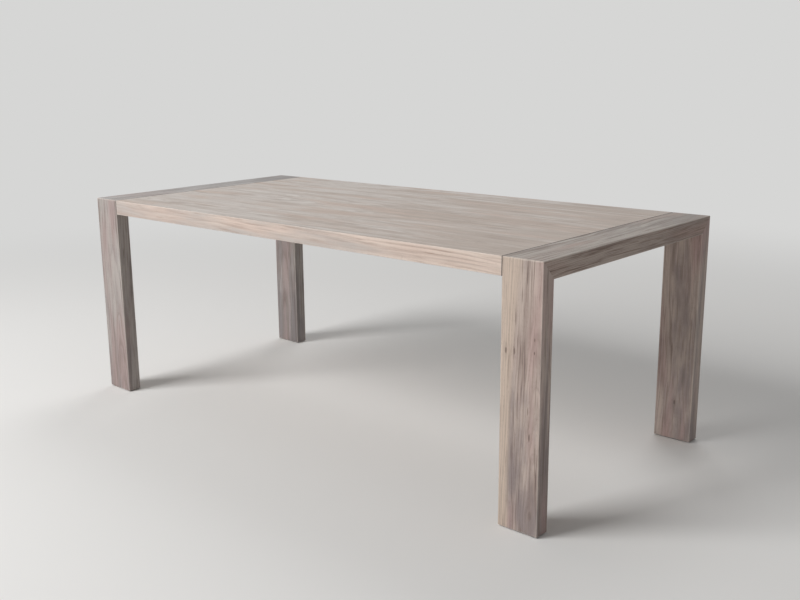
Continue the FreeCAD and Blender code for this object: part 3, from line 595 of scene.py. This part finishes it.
BARE_COLOURS = colours_of(pale=(186, 160, 128), dusky=(172, 145, 112), rosy=(178, 142, 112),
                          sapwood=(196, 172, 140), vein=(138, 108, 78), pore=(116, 86, 60))
BARS = ("end_cleat_left", "end_cleat_right", "cross_batten_left", "cross_batten_middle",
        "cross_batten_right")
BAR_SEED = 50.5
for number, name in enumerate(BARS):
    wood(name, ALONG_Y, BARE_COLOURS, cut_of(BAR_SEED + number, (0.03, 0.08)), highlight_and_wear=0.2,
         seam=False)

# ---- Screws, washers, bolts and inserts ---------------------------------------------------
# Zinc-plated screws hold the bars and the foot pads.  Blacked socket bolts draw the frames up
# to the field, each on a zinc washer, into a turned brass insert in the end rail.

METAL_RELIEF = 0.00002                    # metres


def make_metal_skin():
    """The fine marks on a small turned or plated fixing."""
    bloom_waves, mark_waves = (220, 220, 220), (900, 900, 4200)    # to the metre
    bright, bloomed = 0.35, 0.7           # where the dull bloom starts, and is full
    tree, given, result = new_group(
        "metal_skin", {"Place": "Vector", "Bright": "Color", "Dull": "Color", "Polish": "Float"},
        {"Color": "Color", "Roughness": "Float", "Height": "Float"})
    bloom = ramp(tree, cloud(tree, given["Place"], bloom_waves, 3)[0], bright, bloomed)
    marks = cloud(tree, given["Place"], mark_waves, 2)[0]
    give(tree, result, {
        "Color": mingle(tree, bloom, given["Bright"], given["Dull"]),
        "Roughness": weigh(tree, given["Polish"], (bloom, 0.14), (marks, 0.1)),
        "Height": marks})
    return tree


METAL_SKIN = make_metal_skin()


def metal(names, label, bright, dull, polish):
    """Dress metal fixings; a lower polish number is a brighter shine."""
    material, tree = new_material(label)
    place = put(tree, "TexCoord").outputs["Object"]
    skin = use(tree, METAL_SKIN, {"Place": place, "Bright": bright, "Dull": dull,
                                  "Polish": polish})
    coat(tree, skin["Color"], skin["Roughness"], skin["Height"], METAL_RELIEF, metallic=1.0)
    for name in names:
        dress(name, material)


zinc = [name for name in nodes if "screws" in name or "washers" in name]
metal(zinc, "zinc_plate", paint(206, 208, 212), paint(176, 180, 182), polish=0.26)
metal(["draw_bolts_left", "draw_bolts_right"], "black_oxide", paint(52, 52, 55),
      paint(34, 33, 35), polish=0.38)
metal(["threaded_inserts_left", "threaded_inserts_right"], "turned_brass",
      paint(214, 180, 104), paint(180, 146, 78), polish=0.24)

# ---- Foot pads ----------------------------------------------------------------------------
# A thin pad of dark brown nylon under each leg keeps the end grain off the floor.  It is cut
# from moulded sheet with a fine matt grain, and screwed on.

PAD_GRAIN, PAD_SCUFFS = (1400, 1400, 1400), (60, 240, 60)    # waves to the metre
PAD_SHOWS = (0.5, 0.75)                   # where scuffs start, and are full
PAD_MATT = (0.2, 0.8, 0.5, 0.75)          # from the grain's hollows to its tops: roughness
PAD_RELIEF = 0.00008                      # metres
PAD_COLOUR, SCUFF_COLOUR = paint(58, 50, 44), paint(96, 88, 80)
pad_material, pad_tree = new_material("foot_nylon")
pad_place = put(pad_tree, "TexCoord").outputs["Object"]
pad_grain = cloud(pad_tree, pad_place, PAD_GRAIN, 2)[0]
pad_scuff = ramp(pad_tree, cloud(pad_tree, pad_place, PAD_SCUFFS, 3)[0], *PAD_SHOWS)
pad_colour = mingle(pad_tree, pad_scuff, PAD_COLOUR, SCUFF_COLOUR)
pad_rough = ramp(pad_tree, pad_grain, *PAD_MATT)
coat(pad_tree, pad_colour, pad_rough, pad_grain, PAD_RELIEF)
for corner in CORNERS:
    dress("foot_pad_" + corner, pad_material)

# ---- Studio -------------------------------------------------------------------------------
# A plain pale floor that fades into a pale background, one broad soft lamp from the front left,
# a weaker one high behind, a little light from all round, and the camera.

BACKGROUND = paint(214, 214, 213)
FLOOR_COLOUR = paint(234, 233, 231)
FLOOR_NEAR, FLOOR_FAR, FLOOR_HALF = 1.9, 5.2, 60.0    # where it starts to fade, is gone, and ends

corners = [(x * FLOOR_HALF, y * FLOOR_HALF, 0) for x, y in ((-1, -1), (1, -1), (1, 1), (-1, 1))]
floor_mesh = bpy.data.meshes.new("floor")
floor_mesh.from_pydata(corners, [], [(0, 1, 2, 3)])
floor = bpy.data.objects.new("floor", floor_mesh)
bpy.context.scene.collection.objects.link(floor)

floor_material, floor_tree = new_material("floor")
floor_place = put(floor_tree, "TexCoord").outputs["Object"]
floor_reach = put(floor_tree, "VectorMath", {"operation": "LENGTH"}, {0: floor_place})
floor_fade = ramp(floor_tree, floor_reach.outputs["Value"], FLOOR_NEAR, FLOOR_FAR)
seen_by_camera = put(floor_tree, "LightPath").outputs["Is Camera Ray"]
from_below = put(floor_tree, "NewGeometry").outputs["Backfacing"]
floor_plain = put(floor_tree, "BsdfDiffuse", None, {"Color": FLOOR_COLOUR})
floor_glow = put(floor_tree, "Emission", None, {"Color": BACKGROUND, "Strength": 1.0})
floor_clear = put(floor_tree, "BsdfTransparent")
floor_faded = put(floor_tree, "MixShader", None, {
    0: maths(floor_tree, "MULTIPLY", floor_fade, seen_by_camera),
    1: floor_plain.outputs[0], 2: floor_glow.outputs[0]})
floor_shader = put(floor_tree, "MixShader", None, {
    0: maths(floor_tree, "MULTIPLY", from_below, seen_by_camera),
    1: floor_faded.outputs[0], 2: floor_clear.outputs[0]})
put(floor_tree, "OutputMaterial", None, {"Surface": floor_shader.outputs[0]})
floor_mesh.materials.append(floor_material)

SKY_LIGHT = 0.25
WHITE = (1, 1, 1, 1)
world = bpy.data.worlds.new("studio")
bpy.context.scene.world = world
world.use_nodes = True
sky = world.node_tree
sky.nodes.clear()
sky_path = put(sky, "LightPath").outputs
seen = maths(sky, "MAXIMUM", sky_path["Is Camera Ray"],
             maths(sky, "MAXIMUM", sky_path["Is Glossy Ray"], sky_path["Is Transmission Ray"]))
sky_plain = put(sky, "Background", None, {"Color": WHITE, "Strength": SKY_LIGHT})
sky_seen = put(sky, "Background", None, {"Color": BACKGROUND, "Strength": 1.0})
sky_mix = put(sky, "MixShader", None, {0: seen, 1: sky_plain.outputs[0], 2: sky_seen.outputs[0]})
put(sky, "OutputWorld", None, {"Surface": sky_mix.outputs[0]})

LAMPS_AIM = Vector((0, 0, 0.5))


def lamp(name, place, size, watts):
    """A square soft lamp, aimed at the middle of the table."""
    data = bpy.data.lights.new(name, "AREA")
    data.shape = "SQUARE"
    data.size = size
    data.energy = watts
    made = bpy.data.objects.new(name, data)
    made.location = place
    made.rotation_euler = (LAMPS_AIM - Vector(place)).to_track_quat("-Z", "Y").to_euler()
    bpy.context.scene.collection.objects.link(made)


lamp("key_lamp", (-2.8, -5.6, 4.8), size=3.6, watts=450)
lamp("back_lamp", (-2.5, 6.0, 8.5), size=5.0, watts=215)

IMAGE_WIDTH = 800
CAMERA_PLACE = (2.365, -2.583, 1.257)
CAMERA_TURN, CAMERA_DROP, CAMERA_ROLL = 43.1, 13.44, -0.89    # degrees
FOCAL_PIXELS, SIDE_SHIFT = 994.9, 34.5                        # pixels of the image
SENSOR_WIDTH = 36                                             # millimetres
FARTHEST_SEEN = 200                                           # metres
camera_data = bpy.data.cameras.new("camera")
camera_data.sensor_width = SENSOR_WIDTH
camera_data.lens = FOCAL_PIXELS / IMAGE_WIDTH * camera_data.sensor_width
camera_data.shift_x = SIDE_SHIFT / IMAGE_WIDTH
camera_data.clip_end = FARTHEST_SEEN
camera = bpy.data.objects.new("camera", camera_data)
camera.matrix_world = (
    Matrix.Translation(CAMERA_PLACE)
    @ Matrix.Rotation(math.radians(CAMERA_TURN), 4, "Z")
    @ Matrix.Rotation(math.radians(90 - CAMERA_DROP), 4, "X")
    @ Matrix.Rotation(math.radians(CAMERA_ROLL), 4, "Z")
)
bpy.context.scene.collection.objects.link(camera)
bpy.context.scene.camera = camera
bpy.context.scene.view_settings.view_transform = "Standard"
